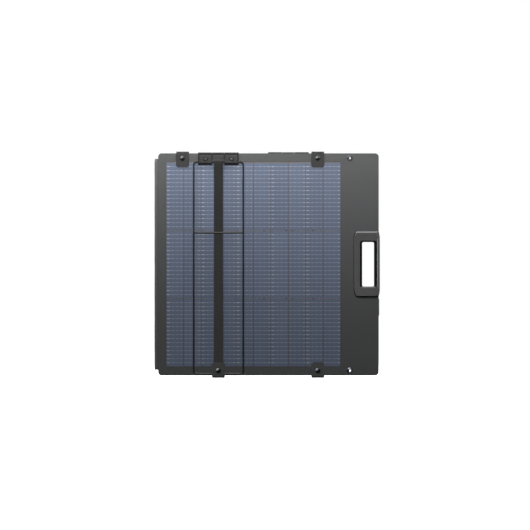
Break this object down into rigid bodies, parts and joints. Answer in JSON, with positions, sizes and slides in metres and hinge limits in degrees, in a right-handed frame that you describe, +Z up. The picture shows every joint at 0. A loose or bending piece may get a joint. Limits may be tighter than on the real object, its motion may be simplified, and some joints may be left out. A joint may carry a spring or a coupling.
{
  "type": "folding solar panel",
  "caption": "Folding bifacial solar panel in a slim case form, with wire kickstands, carrying handle and snap closure straps.",
  "frame": {"origin": "middle of the lower edge of section 1's rear cover sheet, where the folded pack stands", "axes": "+Z up the height of the folded pack, +X towards the handle, +Y from section 1's rear face to section 4's rear face"},
  "size_m": [0.6074, 0.0444, 0.6091],
  "materials": {
    "cover": "coated fabric, fine grain, satin",
    "cells": "laminated solar cells, blue grey, semi-gloss",
    "fold_strip": "coated fabric strip, satin",
    "webbing": "woven webbing, matt",
    "strap": "smooth coated strap, satin",
    "moulded": "moulded plastic, fine texture",
    "wire": "powder coated wire, satin",
    "snap": "glossy black lacquer",
    "metal": "polished",
    "cable": "matt"
  },
  "bodies": {
    "section_1": {"fold_strip_1_2": "fold_strip", "handle_1_inner_shell": "moulded", "handle_1_outer_shell": "moulded", "kickstand_1_left_bracket": "moulded", "kickstand_1_left_rivet": "moulded", "kickstand_1_right_bracket": "moulded", "kickstand_1_right_rivet": "moulded", "kickstand_1_strap_clip": "moulded", "kickstand_1_webbing_strap": "webbing", "section_1_cell_laminate": "cells", "section_1_front_cover": "cover", "section_1_lower_eyelet": "metal", "section_1_rear_cover": "cover", "section_1_upper_eyelet": "metal", "snap_stud_bottom_left": "metal", "snap_stud_bottom_right": "metal", "snap_stud_top_left": "metal", "snap_stud_top_right": "metal"},
    "section_2": {"fold_strip_2_3": "fold_strip", "section_2_cell_laminate": "cells", "section_2_front_cover": "cover", "section_2_rear_cover": "cover"},
    "section_3": {"fold_strip_3_4": "fold_strip", "section_3_cell_laminate": "cells", "section_3_front_cover": "cover", "section_3_rear_cover": "cover"},
    "section_4": {"closure_strap_bottom_left": "strap", "closure_strap_bottom_right": "strap", "closure_strap_top_left": "strap", "closure_strap_top_right": "strap", "handle_4_inner_shell": "moulded", "handle_4_outer_shell": "moulded", "junction_box_base": "moulded", "junction_box_lid": "moulded", "kickstand_4_left_bracket": "moulded", "kickstand_4_left_rivet": "moulded", "kickstand_4_right_bracket": "moulded", "kickstand_4_right_rivet": "moulded", "kickstand_4_strap_clip": "moulded", "kickstand_4_webbing_strap": "webbing", "output_cable": "cable", "output_connector": "cable", "section_4_cell_laminate": "cells", "section_4_front_cover": "cover", "section_4_lower_eyelet": "metal", "section_4_rear_cover": "cover", "section_4_upper_eyelet": "metal"},
    "kickstand_1": {"kickstand_1_wire_loop": "wire"},
    "kickstand_4": {"kickstand_4_wire_loop": "wire"},
    "flap_top_left": {"closure_flap_top_left": "strap", "snap_cap_top_left": "snap"},
    "flap_top_right": {"closure_flap_top_right": "strap", "snap_cap_top_right": "snap"},
    "flap_bottom_left": {"closure_flap_bottom_left": "strap", "snap_cap_bottom_left": "snap"},
    "flap_bottom_right": {"closure_flap_bottom_right": "strap", "snap_cap_bottom_right": "snap"}
  },
  "joints": [
    {"name": "fold_1_2", "type": "hinge", "parent": "section_1", "child": "section_2", "pos_m": [-0.3077, 0.00455, 0], "axis": [0, 0, 1], "range_deg": [0, 180], "deforming": ["fold_strip_1_2"]},
    {"name": "fold_2_3", "type": "hinge", "parent": "section_2", "child": "section_3", "pos_m": [0.22815, 0.01065, 0], "axis": [0, 0, -1], "range_deg": [0, 180], "deforming": ["fold_strip_2_3"]},
    {"name": "fold_3_4", "type": "hinge", "parent": "section_3", "child": "section_4", "pos_m": [-0.3077, 0.01675, 0], "axis": [0, 0, 1], "range_deg": [0, 180], "deforming": ["fold_strip_3_4"]},
    {"name": "kickstand_1_swing", "type": "hinge", "parent": "section_1", "child": "kickstand_1", "pos_m": [-0.13585, -0.00475, 0.574], "axis": [-1, 0, 0], "range_deg": [0, 70]},
    {"name": "kickstand_4_swing", "type": "hinge", "parent": "section_4", "child": "kickstand_4", "pos_m": [0.053, 0.02605, 0.574], "axis": [1, 0, 0], "range_deg": [0, 70]},
    {"name": "flap_top_left_open", "type": "hinge", "parent": "section_4", "child": "flap_top_left", "pos_m": [-0.232, -0.0043, 0.6004], "axis": [-1, 0, 0], "range_deg": [0, 130], "deforming": ["closure_flap_top_left", "snap_cap_top_left"]},
    {"name": "flap_top_right_open", "type": "hinge", "parent": "section_4", "child": "flap_top_right", "pos_m": [0.1325, -0.0043, 0.6004], "axis": [-1, 0, 0], "range_deg": [0, 130], "deforming": ["closure_flap_top_right", "snap_cap_top_right"]},
    {"name": "flap_bottom_left_open", "type": "hinge", "parent": "section_4", "child": "flap_bottom_left", "pos_m": [-0.1354, -0.00815, -0.0025], "axis": [1, 0, 0], "range_deg": [0, 80], "deforming": ["closure_flap_bottom_left", "snap_cap_bottom_left"]},
    {"name": "flap_bottom_right_open", "type": "hinge", "parent": "section_4", "child": "flap_bottom_right", "pos_m": [0.1325, -0.0043, -0.0025], "axis": [1, 0, 0], "range_deg": [0, 80], "deforming": ["closure_flap_bottom_right", "snap_cap_bottom_right"]}
  ],
  "couplings": [
    {"joint": "fold_2_3", "follows": "fold_1_2", "ratio": 1},
    {"joint": "fold_3_4", "follows": "fold_1_2", "ratio": 1}
  ]
}
